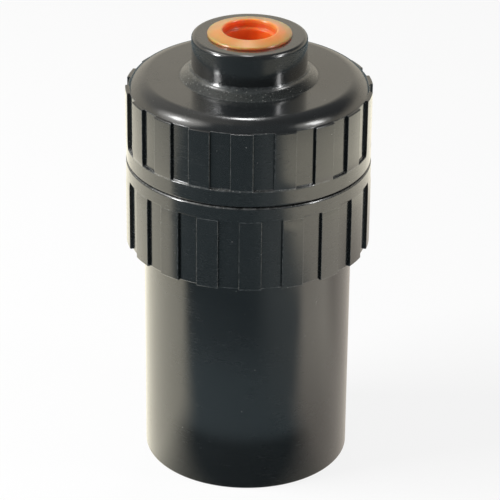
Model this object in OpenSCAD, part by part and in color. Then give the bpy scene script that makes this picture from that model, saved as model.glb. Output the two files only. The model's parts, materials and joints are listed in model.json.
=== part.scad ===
// Pop up sprinkler: a ribbed cap screwed onto a tubular body, with a spring-held riser inside.
// Millimetres. The axis of the sprinkler is Z, the base stands at z = 0 and the front faces -Y.

/* [Barrel] */
// Outside diameter of the barrel tube
barrel_d = 48.6; // [46:0.1:60]
// Wall thickness of the barrel tube
barrel_wall = 2.6; // [2:0.1:4]
// Length of barrel that shows below the collar
barrel_show_h = 55.1; // [45:0.1:90]
// Number of guide ribs inside the barrel
guide_rib_count = 4; // [3:1:6]
// Width of a guide rib
guide_rib_w = 2.4; // [1.5:0.1:4]
// Height of a guide rib above the inside wall
guide_rib_h = 1.4; // [0.8:0.1:2]

/* [Inlet base] */
// Bore of the inlet at its thread crests, for a half inch pipe
inlet_bore_d = 18.6; // [15:0.1:22]
// Depth of the inlet bore
inlet_depth = 15; // [10:0.5:18]
// Wall around the inlet bore
inlet_wall = 3.4; // [2.5:0.1:5]
// Thickness of the valve seat above the inlet
seat_t = 3; // [2:0.1:5]
// Bore of the water way through the valve seat
seat_bore_d = 10; // [6:0.1:12]
// Thickness of the floor of the base
base_floor_t = 4; // [2.5:0.1:6]
// Height of the base rim cemented into the barrel
base_rim_h = 10; // [6:0.5:14]
// Wall of the base rim
base_rim_wall = 3; // [2.6:0.1:4]
// Number of webs between inlet and rim
web_count = 8; // [4:1:12]
// Thickness of a web
web_t = 1.6; // [1:0.1:3]

/* [Collar] */
// Height of the ribbed collar from its bottom edge to the cap seam
collar_h = 20.55; // [16:0.05:30]
// Height of the smooth band above the ribs of the collar
collar_band_h = 3.4; // [2:0.1:6]
// Depth of the socket that holds the barrel
socket_depth = 17.5; // [12:0.1:18]
// Wall of the collar behind its grip recesses
collar_wall = 3.6; // [2.5:0.05:5]
// Height of the threaded neck above the seam
thread_neck_h = 15.65; // [14:0.05:20]
// Wall of the threaded neck at the thread root
thread_neck_wall = 2.5; // [2:0.1:3]

/* [Cap thread] */
// Rise of the thread in one turn
thread_pitch = 4; // [3.5:0.1:5]
// Turns of thread on the neck
thread_turns = 2.5; // [1.5:0.25:2.75]
// Height of the thread above its root
thread_h = 0.9; // [0.6:0.05:1.2]
// Height of a thread lug along the axis
thread_w = 1.4; // [1:0.05:1.5]
// Thread lugs in one turn, with vent slots between them
lugs_per_turn = 10; // [8:1:16]
// Angle that one thread lug covers
lug_angle = 24; // [10:1:40]
// Radial clearance of the thread
thread_clear = 0.35; // [0.3:0.05:0.6]

/* [Grip ribs] */
// Number of grip ribs around the cap and around the collar
rib_count = 18; // [12:1:24]
// Angle that one rib covers
rib_angle = 10.4; // [6:0.1:13]
// Height of a rib above the recess beside it
rib_h = 0.6; // [0.4:0.05:1.2]
// How far the smooth bands lie below the rib tops
band_step = 0.1; // [0.05:0.05:0.4]
// Turn of the cap ribs from the front
cap_rib_turn = -3; // [-10:0.1:10]
// Turn of the collar ribs from the front
collar_rib_turn = 1.2; // [-10:0.1:10]

/* [Cap] */
// Gap of the seam between cap and collar
seam_gap = 0.25; // [0.1:0.05:0.6]
// Height of the smooth band below the ribs of the cap
cap_band_h = 3.85; // [2:0.05:6]
// Length of the ribs of the cap
cap_rib_len = 13.85; // [8:0.05:15]
// Wall of the cap behind its grip recesses
cap_wall = 2.4; // [1.6:0.05:4]
// Thickness of the roof of the cap
roof_t = 3.25; // [2.5:0.05:5]
// How far the shoulder lies below the rib tops, so that a small ledge runs round its foot
shoulder_step = 0.2; // [0.1:0.05:0.5]
// Radius of the rounded shoulder edge
shoulder_round = 4.8; // [2:0.1:5]
// Diameter of the neck on top of the cap
neck_d = 26.6; // [25:0.1:32]
// Height of the neck above the shoulder
neck_h = 9.9; // [8:0.05:14]
// Wall of the neck around the seal pocket
neck_wall = 2; // [1.5:0.1:2.2]
// Thickness of the lip that closes the top of the neck
neck_lip_t = 5.2; // [4.8:0.1:6]
// Radius of the hollow corner at the foot of the neck
neck_fillet = 3.3; // [1:0.1:4]
// Radius of the top edge of the neck
neck_edge_round = 0.8; // [0.3:0.1:1.2]

/* [Seals] */
// Thickness of the gasket between cap and threaded neck
gasket_t = 1.5; // [1:0.1:2.5]
// Thickness of the rubber of the wiper seal
wiper_t = 1.1; // [0.8:0.1:1.4]
// Height of the lip of the wiper seal
wiper_lip_h = 3; // [2:0.1:3.6]
// Flange thickness of the ring that holds the wiper seal
retainer_t = 1.4; // [1:0.1:2]
// Depth that the retainer ring enters the seal pocket
retainer_depth = 1.4; // [1:0.1:2]
// Thickness of the rubber check washer under the riser
check_seal_t = 2; // [1.5:0.1:3]
// Diameter of the rubber check washer
check_seal_d = 18; // [15:0.1:22]
// Thickness of the gasket under the nozzle
nozzle_seal_t = 0.7; // [0.5:0.1:1.2]

/* [Riser] */
// Outside diameter of the riser tube
riser_d = 17; // [16.6:0.1:17.4]
// Wall of the riser tube
riser_wall = 1.6; // [1.2:0.05:1.7]
// Clearance round the riser in the neck
riser_clear = 0.3; // [0.2:0.05:0.4]
// Diameter of the flange at the foot of the riser
riser_flange_d = 28; // [25:0.1:32]
// Thickness of the flange at the foot of the riser
riser_flange_t = 2.5; // [1.5:0.1:4]
// Height of the water windows under the riser
window_h = 4; // [3:0.1:6]
// Thickness of the plate that holds the check washer
check_plate_t = 1.6; // [1.2:0.1:3]
// Diameter of the stud through the check washer
check_stud_d = 10.4; // [7:0.1:12]
// Length of the check holder inside the riser
check_sleeve_h = 6; // [3:0.5:10]

/* [Guide and ratchet] */
// Thickness of the ratchet plate on the riser
ratchet_t = 1.4; // [1:0.1:2.5]
// Number of teeth round the ratchet plate
tooth_count = 24; // [12:1:36]
// Height of a ratchet tooth
tooth_h = 0.9; // [0.5:0.1:1.5]
// Thickness of the hub and spokes of the guide ring
guide_hub_t = 1.5; // [1:0.1:3]
// Height of the rim of the guide ring
guide_rim_h = 4; // [3:0.1:6]
// Width of the rim of the guide ring
guide_rim_w = 2.8; // [2.5:0.1:4]
// Running clearance of the guide ring in the barrel
guide_clear = 0.3; // [0.2:0.05:0.6]
// Width of a spoke of the guide ring
spoke_w = 4; // [2:0.1:6]
// Gap between the pawls and the ratchet teeth
pawl_gap = 0.2; // [0.1:0.05:0.4]
// Thickness of a pawl
pawl_t = 1.4; // [0.8:0.1:2]

/* [Spring] */
// Wire diameter of the retraction spring
wire_d = 1.2; // [0.8:0.1:1.6]
// Mean diameter of the retraction spring
spring_d = 22.6; // [21:0.1:26]
// Turns of the retraction spring
spring_turns = 7; // [4:0.5:9]
// Thickness of the washer above the spring
washer_t = 1.2; // [0.8:0.1:2]

/* [Nozzle] */
// Diameter of the nozzle flange on top of the neck
flange_d = 19.4; // [19:0.1:24]
// Thickness of the nozzle flange at its edge
flange_t = 0.6; // [0.5:0.05:1.5]
// How far the top of the nozzle rises from the edge of the flange to the recess
crown_h = 0.65; // [0.2:0.05:1]
// Radius of the outer top edge of the flange
flange_round = 0.25; // [0.1:0.05:0.4]
// Diameter of the mouth of the recess in the top of the nozzle
recess_d = 12.3; // [11:0.1:12.8]
// Depth of the mouth of the recess
mouth_depth = 2; // [1.2:0.1:2.5]
// Diameter of the recess below its mouth
well_d = 10.8; // [8:0.1:10.9]
// Depth of the whole recess
recess_depth = 6.4; // [4:0.1:7]
// Radius of the edge of the recess
recess_round = 0.5; // [0.1:0.05:0.9]
// Thickness of the floor of the recess
deflector_t = 1; // [0.7:0.05:1.2]
// Height of the spray opening under the floor of the recess
spray_gap = 1.1; // [0.8:0.1:2]
// Thickness of the flange of the nozzle base
nozzle_flange_t = 1.1; // [0.8:0.1:2]
// Length of the spigot in the riser
spigot_h = 8.4; // [6:0.1:12]
// Wall of the spigot
spigot_wall = 1.1; // [0.8:0.05:1.2]
// Thickness of the spray wall and of the shutter
shutter_t = 1; // [0.8:0.05:1.1]
// Angle that the spray wall and the shutter each close
shutter_angle = 180; // [120:5:180]
// Diameter of the pivot under the recess
pivot_d = 6; // [5.6:0.1:6.4]
// Wall of the hub around the pivot
hub_wall = 1.2; // [0.8:0.1:1.4]
// Length of the hub around the pivot
hub_h = 3; // [2:0.1:5]
// Diameter of the radius screw
screw_d = 2.9; // [2.5:0.1:3]
// Diameter of the screw head
screw_head_d = 4.2; // [3.8:0.1:4.4]
// Height of the screw head
screw_head_h = 1.2; // [0.8:0.1:1.4]
// Length of the screw under its head
screw_len = 16.5; // [15:0.5:20]
// Width of the slot in the screw head
screw_slot_w = 0.7; // [0.5:0.1:1]

/* [Filter and throttle] */
// Length of the basket of the filter
basket_h = 28; // [15:0.5:32]
// Wall of the basket
basket_wall = 0.7; // [0.5:0.05:1]
// Length of the filter collar that guides the throttle
filter_collar_h = 9; // [7:0.5:12]
// Depth that the filter enters the spigot
filter_sleeve_h = 3; // [2:0.1:4]
// Wall of the filter sleeve
filter_sleeve_wall = 0.7; // [0.5:0.05:0.9]
// Rows of windows in the basket
window_rows = 5; // [2:1:6]
// Windows round the basket
window_columns = 8; // [4:2:10]
// Web of basket left between windows
window_web = 1.5; // [1:0.1:2]
// Height of the throttle
throttle_h = 3; // [2:0.1:4]
// Free water gap round the throttle
throttle_gap = 0.8; // [0.5:0.1:1.2]
// Width of a key fin on the throttle
fin_w = 1.4; // [1:0.1:2]
// Height of a key fin on the throttle
fin_h = 0.6; // [0.4:0.05:0.7]
// Distance of the throttle below the spigot when fully open
throttle_drop = 1.8; // [1.5:0.1:3]
// Travel of the throttle up to its seat
throttle_travel = 2.8; // [2:0.1:3.2]
// Thickness of the seat of the throttle
throttle_seat_t = 1; // [0.6:0.1:1.2]

/* [Hidden] */
$fn = 96;

// Colours of the pieces
black = "#232425";
grey = "#5a5b5d";
orange = "#e8893c";
rubber = "#2b2b2b";
steel = "#c4c6c8";
natural = "#d9d6cc";

// Small fits shared by the pieces
cement_gap = 0.05;
press_gap = 0.05;
running_gap = 0.05;
// Overlap that joins two shapes of one piece, and the reach of a cut past a face
bond = 0.4;
past = 1;
// Fine clearance between a turning face and the next face
face_gap = 0.15;

// Barrel and base
barrel_r = barrel_d / 2;
barrel_in_r = barrel_r - barrel_wall;
base_r = barrel_in_r - cement_gap;
inlet_r = inlet_bore_d / 2;
boss_r = inlet_r + inlet_wall;
seat_z = inlet_depth + seat_t;

// Collar and threaded neck
socket_r = barrel_r + cement_gap;
collar_floor_r = socket_r + collar_wall;
collar_z = barrel_show_h;
socket_z = collar_z + socket_depth;
seam_z = collar_z + collar_h;
rim_z = seam_z + thread_neck_h;
thread_root_r = barrel_in_r + thread_neck_wall;
thread_z = (seam_z + rim_z - thread_pitch * thread_turns) / 2;

// Cap
cap_bore_r = thread_root_r + thread_h + thread_clear;
cap_floor_r = cap_bore_r + cap_wall;
cap_z = seam_z + seam_gap;
cap_rib_z = cap_z + cap_band_h;
roof_z = rim_z + gasket_t;
shoulder_z = roof_z + roof_t;
cap_rib_top_z = cap_rib_z + cap_rib_len;
cap_band_r = cap_floor_r + rib_h - band_step;
shoulder_r = cap_floor_r + rib_h - shoulder_step;
neck_r = neck_d / 2;
neck_z = shoulder_z + neck_h;
lip_z = neck_z - neck_lip_t;
pocket_r = neck_r - neck_wall;

// Riser stack from the valve seat up
riser_r = riser_d / 2;
riser_in_r = riser_r - riser_wall;
riser_bore_r = riser_r + riser_clear;
check_plate_z = seat_z + check_seal_t;
window_z = check_plate_z + check_plate_t;
riser_z = window_z + window_h;
ratchet_z = riser_z + riser_flange_t;
ratchet_r = riser_flange_d / 2 + tooth_h / 4;
guide_z = ratchet_z + ratchet_t;
spring_z = guide_z + guide_hub_t;
guide_r = barrel_in_r - guide_clear;

// Spring and washer under the roof
retainer_z = roof_z - retainer_t;
washer_z = retainer_z - washer_t;
spring_len = washer_z - spring_z;
spring_r = spring_d / 2;
washer_r = riser_flange_d / 2;

// Nozzle stack from the top of the neck down
flange_z = neck_z + flange_t;
top_z = flange_z + crown_h;
recess_z = top_z - recess_depth;
deflector_z = recess_z - deflector_t;
spray_z = deflector_z - spray_gap;
nozzle_flange_z = spray_z - nozzle_flange_t;
riser_top_z = nozzle_flange_z - nozzle_seal_t;
spigot_z = riser_top_z - spigot_h + nozzle_seal_t;
spigot_r = riser_in_r - press_gap;
spigot_in_r = spigot_r - spigot_wall;
flange_r = flange_d / 2;
shutter_r = riser_r - running_gap * 2;
wall_r = shutter_r - shutter_t - running_gap * 2;
pivot_r = pivot_d / 2;
hub_r = pivot_r + running_gap + hub_wall;
pivot_z = spray_z - hub_h;
screw_r = screw_d / 2;
head_z = recess_z - screw_head_h * 2;

// Filter and throttle
sleeve_r = spigot_in_r - press_gap;
filter_in_r = sleeve_r - filter_sleeve_wall;
filter_z = spigot_z - filter_collar_h;
basket_z = filter_z - basket_h;
throttle_r = filter_in_r - throttle_gap;
throttle_z = spigot_z - throttle_drop - throttle_h;
throttle_tip_r = screw_r + (throttle_r - screw_r) / 2;
throttle_seat_r = (throttle_tip_r + throttle_r) / 2;
throttle_seat_z = throttle_z + throttle_h + throttle_travel + 2 * face_gap;

// Shapes that repeat

// Ring between two radii and two heights
module ring(r_in, r_out, z0, z1) {
    rotate_extrude()
        translate([r_in, z0])
            square([r_out - r_in, z1 - z0]);
}

// Part of a ring that starts at one angle and sweeps through another
module ring_part(r_in, r_out, z0, z1, start, sweep) {
    rotate([0, 0, start])
        rotate_extrude(angle = sweep)
            translate([r_in, z0])
                square([r_out - r_in, z1 - z0]);
}

// Upright bar that starts at a radius and points outwards
module spoke(r0, r1, z0, z1, w) {
    translate([r0, -w / 2, z0])
        cube([r1 - r0, w, z1 - z0]);
}

// Children repeated evenly round the axis
module around(count, start = 0) {
    for (i = [0 : count - 1])
        rotate([0, 0, start + 360 * i / count])
            children();
}

// Grip ribs on a wall of radius r, centred on the given turn from the front
module grip_ribs(r, z0, z1, turn) {
    around(rib_count, turn - 90 - rib_angle / 2)
        ring_part(r - rib_h, r + rib_h, z0, z1, 0, rib_angle);
}

// Guide ribs inside the tube, grown by a clearance where they are cut from another piece
module guide_ribs(z0, z1, clear = 0) {
    around(guide_rib_count, 45)
        spoke(barrel_in_r - guide_rib_h - clear, barrel_in_r + bond, z0, z1, guide_rib_w + 2 * clear);
}

// Tube of rings that all have the same number of points, closed by a fan at each end
module skin(rings) {
    sides = len(rings[0]);
    last = len(rings) - 1;
    points = [for (ring = rings) each ring];
    walls = [
        for (i = [0 : last - 1])
            for (j = [0 : sides - 1])
                let (k = (j + 1) % sides, a = i * sides, b = a + sides)
                    each [[a + j, b + j, b + k], [a + j, b + k, a + k]]
    ];
    ends = [
        for (j = [1 : sides - 2])
            each [[0, j, j + 1], [last * sides, last * sides + j + 1, last * sides + j]]
    ];
    polyhedron(points = points, faces = concat(walls, ends));
}

// Interrupted right-hand thread: lugs that climb from z0 along the helix
module thread_lugs(root_r, crest_r, z0, turns) {
    back_r = root_r - sign(crest_r - root_r) * bond;
    for (i = [0 : floor(turns * lugs_per_turn) - 1])
        ring_part(
            min(back_r, crest_r),
            max(back_r, crest_r),
            z0 + i * thread_pitch / lugs_per_turn - thread_w / 2,
            z0 + i * thread_pitch / lugs_per_turn + thread_w / 2,
            i * 360 / lugs_per_turn - lug_angle / 2,
            lug_angle
        );
}

// Case

// Tube of the body with its guide ribs
module barrel() {
    color(black) {
        ring(barrel_in_r, barrel_r, 0, socket_z);
        guide_ribs(0, socket_z);
    }
}

// Floor of the body with the inlet boss and the valve seat
module inlet_base() {
    color(black)
        difference() {
            union() {
                cylinder(r = base_r, h = base_floor_t);
                ring(base_r - base_rim_wall, base_r, 0, base_rim_h);
                cylinder(r = boss_r, h = seat_z);
                around(web_count)
                    spoke(boss_r - bond, base_r - base_rim_wall + bond, 0, base_rim_h, web_t);
            }
            translate([0, 0, -past])
                cylinder(r = inlet_r, h = inlet_depth + past);
            cylinder(d = seat_bore_d, h = seat_z + past);
            guide_ribs(-past, seat_z, guide_clear);
        }
}

// Ribbed collar cemented onto the barrel, with the threaded neck that carries the cap
module body_collar() {
    band_z = seam_z - collar_band_h;
    color(black) {
        rotate_extrude()
            polygon([
                [socket_r, collar_z],
                [collar_floor_r, collar_z],
                [collar_floor_r, band_z],
                [collar_floor_r + rib_h - band_step, band_z],
                [collar_floor_r + rib_h - band_step, seam_z],
                [thread_root_r, seam_z],
                [thread_root_r, rim_z],
                [barrel_in_r, rim_z],
                [barrel_in_r, socket_z],
                [socket_r, socket_z]
            ]);
        grip_ribs(collar_floor_r, collar_z, band_z + bond, collar_rib_turn);
        guide_ribs(socket_z, rim_z);
        thread_lugs(thread_root_r, thread_root_r + thread_h, thread_z, thread_turns);
    }
}

// Cap

// Half section of the outside of the cap, as a solid
module cap_outline() {
    ledge_z = cap_rib_top_z - shoulder_step / 4;
    translate([0, cap_z])
        square([cap_band_r, cap_band_h]);
    translate([0, cap_z])
        square([cap_floor_r, ledge_z - cap_z]);
    intersection() {
        translate([0, ledge_z - bond])
            square([cap_floor_r, neck_z]);
        union() {
            square([shoulder_r, shoulder_z - shoulder_round]);
            square([shoulder_r - shoulder_round, shoulder_z]);
            translate([shoulder_r - shoulder_round, shoulder_z - shoulder_round])
                circle(shoulder_round);
        }
    }
    translate([0, shoulder_z - bond])
        square([neck_r, neck_h + bond - neck_edge_round]);
    translate([0, shoulder_z])
        square([neck_r - neck_edge_round, neck_h]);
    translate([neck_r - neck_edge_round, neck_z - neck_edge_round])
        circle(neck_edge_round);
    difference() {
        translate([neck_r - bond, shoulder_z - bond])
            square(neck_fillet + bond);
        translate([neck_r + neck_fillet, shoulder_z + neck_fillet])
            circle(neck_fillet);
    }
}

// Cap with its grip ribs, its inside thread and the neck that guides the riser
module cap() {
    color(black) {
        rotate_extrude()
            difference() {
                cap_outline();
                translate([0, cap_z - past])
                    square([cap_bore_r, roof_z - cap_z + past]);
                translate([0, roof_z - past])
                    square([pocket_r, lip_z - roof_z + past]);
                translate([0, lip_z - past])
                    square([riser_bore_r, neck_lip_t + 2 * past]);
            }
        grip_ribs(cap_floor_r, cap_rib_z - bond, cap_rib_top_z, cap_rib_turn);
        thread_lugs(
            cap_bore_r,
            thread_root_r + 2 * thread_clear,
            thread_z + thread_pitch / 2,
            thread_turns - 0.5
        );
    }
}

// Flat gasket between the rim of the threaded neck and the roof of the cap
module cap_gasket() {
    color(rubber)
        ring(barrel_in_r + guide_clear, cap_bore_r - guide_clear, rim_z, roof_z);
}

// Rubber seal with a lip that wipes the riser
module wiper_seal() {
    seal_z = roof_z + retainer_depth;
    out_r = pocket_r - press_gap;
    in_r = out_r - wiper_t;
    tip_r = riser_r + running_gap;
    lip_top_z = lip_z - wiper_t;
    color(rubber)
        rotate_extrude()
            polygon([
                [out_r, seal_z],
                [out_r, lip_z],
                [in_r, lip_z],
                [in_r, lip_top_z],
                [tip_r + wiper_t / 2, lip_top_z],
                [tip_r, lip_top_z - wiper_t / 2],
                [tip_r, lip_top_z - wiper_lip_h],
                [tip_r + wiper_t / 2, lip_top_z - wiper_lip_h],
                [in_r, lip_top_z - 1.5 * wiper_t],
                [in_r, seal_z]
            ]);
}

// Ring that holds the wiper seal in the neck and takes the push of the spring
module seal_retainer() {
    in_r = riser_r + riser_clear;
    color(grey)
        rotate_extrude()
            polygon([
                [in_r, retainer_z],
                [washer_r, retainer_z],
                [washer_r, roof_z],
                [pocket_r - press_gap, roof_z],
                [pocket_r - press_gap, roof_z + retainer_depth],
                [in_r + wiper_t / 2, roof_z + retainer_depth],
                [in_r, roof_z]
            ]);
}

// Washer on which the cap turns without winding the spring
module spring_washer() {
    color(steel)
        ring(riser_r + riser_clear, washer_r, washer_z, retainer_z);
}

// Spring

// Centre line of the spring as a rule of the turn, seated flush on hub and washer
spring_steps = 12;
spring_sides = 6;
spring_count = spring_turns * spring_steps;
spring_rise = spring_len - wire_d - 2 * running_gap;
function spring_point(i) =
    let (angle = i * 360 / spring_steps)
        [
            spring_r * cos(angle),
            spring_r * sin(angle),
            spring_z + running_gap + wire_d / 2 + spring_rise * i / spring_count
        ];
spring_gap = min([
    for (i = [0 : spring_count - 1])
        for (j = [i + spring_steps / 2 : 1 : spring_count])
            norm(spring_point(i) - spring_point(j)) - wire_d
]);

// Spring that draws the riser back into the body
module retraction_spring() {
    echo(least_gap_of_spring = spring_gap, pop_up_room = spring_len - (spring_turns + 1) * wire_d);
    color(steel)
        skin([
            for (i = [0 : spring_count])
                let (angle = i * 360 / spring_steps, centre = spring_point(i))
                    [
                        for (j = [0 : spring_sides - 1])
                            let (
                                turn = 90 - j * 360 / spring_sides,
                                out = wire_d / 2 * cos(turn)
                            )
                                centre + [out * cos(angle), out * sin(angle), wire_d / 2 * sin(turn)]
                    ]
        ]);
}

// Riser

// Ring keyed to the guide ribs, so that the riser can't turn by itself
module guide_ring() {
    rim_in_r = guide_r - guide_rim_w;
    hub_out_r = ratchet_r;
    color(natural)
        difference() {
            union() {
                ring(riser_bore_r, hub_out_r, guide_z, spring_z);
                ring(rim_in_r, guide_r, guide_z, guide_z + guide_rim_h);
                around(guide_rib_count)
                    spoke(hub_out_r - bond, rim_in_r + bond, guide_z, spring_z, spoke_w);
                around(2)
                    spoke(
                        ratchet_r + pawl_gap,
                        ratchet_r + pawl_gap + pawl_t,
                        ratchet_z + face_gap,
                        guide_z + guide_hub_t / 2,
                        spoke_w / 2
                    );
            }
            guide_ribs(guide_z - past, guide_z + guide_rim_h + past, guide_clear);
        }
}

// Toothed plate pressed onto the riser, in which the pawls of the guide ring click
module ratchet_plate() {
    color(grey) {
        ring(riser_r + press_gap, ratchet_r - tooth_h, ratchet_z, guide_z);
        around(tooth_count)
            spoke(ratchet_r - tooth_h - bond, ratchet_r, ratchet_z, guide_z, tooth_h);
    }
}

// Tube that pops up, with its foot flange
module riser() {
    color(black) {
        ring(riser_in_r, riser_r, riser_z, riser_top_z);
        ring(riser_in_r, riser_flange_d / 2, riser_z, ratchet_z);
    }
}

// Cage at the foot of the riser that holds the check washer and lets the water in
leg_angle = 30;
leg_inset = 0.2;
module check_holder() {
    sleeve_out_r = riser_in_r - press_gap;
    sleeve_in_r = sleeve_out_r - riser_wall;
    shoulder_low_z = riser_z - riser_flange_t / 2;
    color(natural) {
        translate([0, 0, seat_z + face_gap])
            cylinder(d = check_stud_d - 2 * press_gap, h = check_plate_z - seat_z + bond - face_gap);
        translate([0, 0, check_plate_z])
            cylinder(d = check_seal_d, h = check_plate_t);
        around(4)
            ring_part(
                sleeve_in_r + leg_inset,
                sleeve_out_r - leg_inset,
                window_z - bond,
                shoulder_low_z + bond,
                -leg_angle / 2,
                leg_angle
            );
        ring(sleeve_in_r, riser_r, shoulder_low_z, riser_z);
        ring(sleeve_in_r, sleeve_out_r, riser_z - bond, riser_z + check_sleeve_h);
    }
}

// Rubber washer that shuts the inlet when the riser is down
module check_seal() {
    color(rubber)
        ring(check_stud_d / 2, check_seal_d / 2, seat_z, check_plate_z);
}

// Nozzle

// Lower half of the nozzle: spigot in the riser, hub for the pivot and fixed spray wall
module nozzle_base() {
    color(orange) {
        ring(spigot_in_r, spigot_r, spigot_z, nozzle_flange_z + bond);
        ring(spigot_in_r, shutter_r, nozzle_flange_z, spray_z);
        ring(pivot_r + running_gap, hub_r, pivot_z, spray_z);
        around(4)
            spoke(hub_r - bond, spigot_in_r + bond, pivot_z, spray_z, hub_wall);
        ring_part(
            wall_r - shutter_t,
            wall_r,
            spray_z - bond,
            deflector_z - face_gap,
            90 - shutter_angle / 2,
            shutter_angle
        );
    }
}

// Flat gasket between the riser and the flange of the nozzle
module nozzle_seal() {
    color(rubber)
        ring(riser_in_r, shutter_r, riser_top_z, nozzle_flange_z);
}

// Upper half of the nozzle: flange with the recess, deflector, pivot and shutter
module arc_collar() {
    color(orange) {
        rotate_extrude()
            difference() {
                union() {
                    polygon([
                        [0, neck_z],
                        [flange_r, neck_z],
                        [flange_r, flange_z - flange_round],
                        [flange_r - flange_round, flange_z],
                        [recess_d / 2 + recess_round, top_z],
                        [0, top_z]
                    ]);
                    translate([flange_r - flange_round, flange_z - flange_round])
                        circle(flange_round);
                    translate([0, deflector_z])
                        square([shutter_r, neck_z - deflector_z + flange_t / 2]);
                    translate([0, pivot_z])
                        square([pivot_r, neck_z - pivot_z]);
                }
                translate([0, recess_z])
                    square([well_d / 2, recess_depth + past]);
                translate([0, top_z - mouth_depth])
                    square([recess_d / 2, mouth_depth + past]);
                difference() {
                    translate([recess_d / 2 - past, top_z - recess_round])
                        square([recess_round + past, recess_round + past]);
                    translate([recess_d / 2 + recess_round, top_z - recess_round])
                        circle(recess_round);
                }
                translate([0, head_z])
                    square([screw_head_d / 2 + running_gap, recess_z - head_z + past]);
                translate([0, pivot_z - past])
                    square([screw_r + running_gap, head_z - pivot_z + 2 * past]);
            }
        ring_part(
            shutter_r - shutter_t,
            shutter_r,
            spray_z + face_gap,
            deflector_z + bond,
            90 - shutter_angle / 2,
            shutter_angle
        );
    }
}

// Screw that sets the throw by moving the throttle
module radius_screw() {
    color(steel)
        difference() {
            union() {
                translate([0, 0, head_z])
                    cylinder(d = screw_head_d, h = screw_head_h);
                translate([0, 0, head_z - screw_len])
                    cylinder(r = screw_r, h = screw_len + screw_head_h / 2);
            }
            translate([-screw_head_d, -screw_slot_w / 2, head_z + screw_head_h / 2])
                cube([2 * screw_head_d, screw_slot_w, screw_head_h]);
        }
}

// Plug on the screw that rises into the spigot and narrows the water way
module throttle_plug() {
    bore_r = screw_r + running_gap;
    color(natural) {
        rotate_extrude()
            polygon([
                [bore_r, throttle_z],
                [throttle_r, throttle_z],
                [throttle_r, throttle_z + throttle_h / 2],
                [throttle_tip_r, throttle_z + throttle_h],
                [bore_r, throttle_z + throttle_h]
            ]);
        around(2)
            spoke(
                throttle_r - bond,
                filter_in_r + fin_h,
                throttle_z,
                throttle_z + throttle_h / 2,
                fin_w
            );
    }
}

// Filter basket that hangs from the nozzle, with the guide for the throttle
module filter_screen() {
    collar_r = riser_in_r - 2 * press_gap;
    basket_r = filter_in_r + basket_wall;
    row_h = basket_h / window_rows;
    column_w = 2 * PI * basket_r / window_columns;
    color(natural)
        difference() {
            union() {
                ring(filter_in_r, sleeve_r, spigot_z - bond, spigot_z + filter_sleeve_h);
                ring(filter_in_r, collar_r, filter_z, spigot_z);
                ring(
                    throttle_seat_r,
                    filter_in_r + bond,
                    throttle_seat_z,
                    throttle_seat_z + throttle_seat_t
                );
                ring(filter_in_r, basket_r, basket_z, filter_z + bond);
                translate([0, 0, basket_z - basket_wall])
                    cylinder(r = basket_r, h = basket_wall + bond);
            }
            around(2)
                spoke(
                    filter_in_r - bond,
                    filter_in_r + fin_h + face_gap,
                    filter_z + face_gap,
                    spigot_z + filter_sleeve_h + past,
                    fin_w + 2 * face_gap
                );
            for (row = [0 : window_rows - 1])
                around(window_columns, 180 / window_columns)
                    spoke(
                        filter_in_r - bond,
                        basket_r + past,
                        basket_z + row * row_h + window_web / 2 + bond,
                        basket_z + (row + 1) * row_h - window_web / 2,
                        column_w - window_web
                    );
        }
}

barrel();
inlet_base();
body_collar();
cap_gasket();
spring_washer();
retraction_spring();
cap();
wiper_seal();
seal_retainer();
guide_ring();
ratchet_plate();
riser();
check_holder();
check_seal();
nozzle_base();
nozzle_seal();
filter_screen();
arc_collar();
radius_screw();
throttle_plug();
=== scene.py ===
# %% [markdown]
# # A pop up sprinkler in the studio
#
# The object is a black garden sprinkler: a plain barrel, a ribbed collar, a ribbed screw cap with a
# neck, and an orange nozzle that sits on the neck and rises out of it on a sprung tube. The packed
# CAD model gives the places, the main sizes and every joint. This lesson dresses that model: the
# pieces that show are made again as smooth surfaces with real edges, and every piece gets a finish
# made of nodes.

# %% Load the frame
import json
import math

import bpy
import numpy as np
from mathutils import Matrix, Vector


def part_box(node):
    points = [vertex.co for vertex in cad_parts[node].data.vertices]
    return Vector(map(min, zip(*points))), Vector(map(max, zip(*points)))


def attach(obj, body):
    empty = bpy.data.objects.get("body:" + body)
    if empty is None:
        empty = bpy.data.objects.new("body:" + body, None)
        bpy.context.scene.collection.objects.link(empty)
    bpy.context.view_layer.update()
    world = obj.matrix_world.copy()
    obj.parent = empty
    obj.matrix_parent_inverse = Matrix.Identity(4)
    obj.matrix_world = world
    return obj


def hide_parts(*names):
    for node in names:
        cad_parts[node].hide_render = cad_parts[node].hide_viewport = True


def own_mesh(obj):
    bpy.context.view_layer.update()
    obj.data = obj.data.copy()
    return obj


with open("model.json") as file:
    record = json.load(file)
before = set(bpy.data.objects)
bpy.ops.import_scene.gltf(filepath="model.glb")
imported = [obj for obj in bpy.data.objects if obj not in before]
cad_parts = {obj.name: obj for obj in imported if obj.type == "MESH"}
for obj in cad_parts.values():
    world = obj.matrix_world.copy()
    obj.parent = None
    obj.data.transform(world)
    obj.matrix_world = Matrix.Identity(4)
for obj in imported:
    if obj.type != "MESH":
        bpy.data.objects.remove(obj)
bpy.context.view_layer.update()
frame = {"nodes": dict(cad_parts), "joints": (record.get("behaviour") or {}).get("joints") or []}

# %% [markdown]
# ## Sizes
#
# Heights and radii that the model holds are read from it, so that a piece always sits where its CAD
# node sits. What a box can't tell, such as a wall or the width of a rib, is a named value. All
# sizes are in millimetres until the points go into a mesh.

# %% Sizes
MM = 0.001
BARREL_IN_R = 21.7


def span(node):
    """Outer radius, lowest and highest point of a CAD node, in millimetres."""
    low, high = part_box(node)
    return max(high.x, high.y) / MM, low.z / MM, high.z / MM


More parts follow.
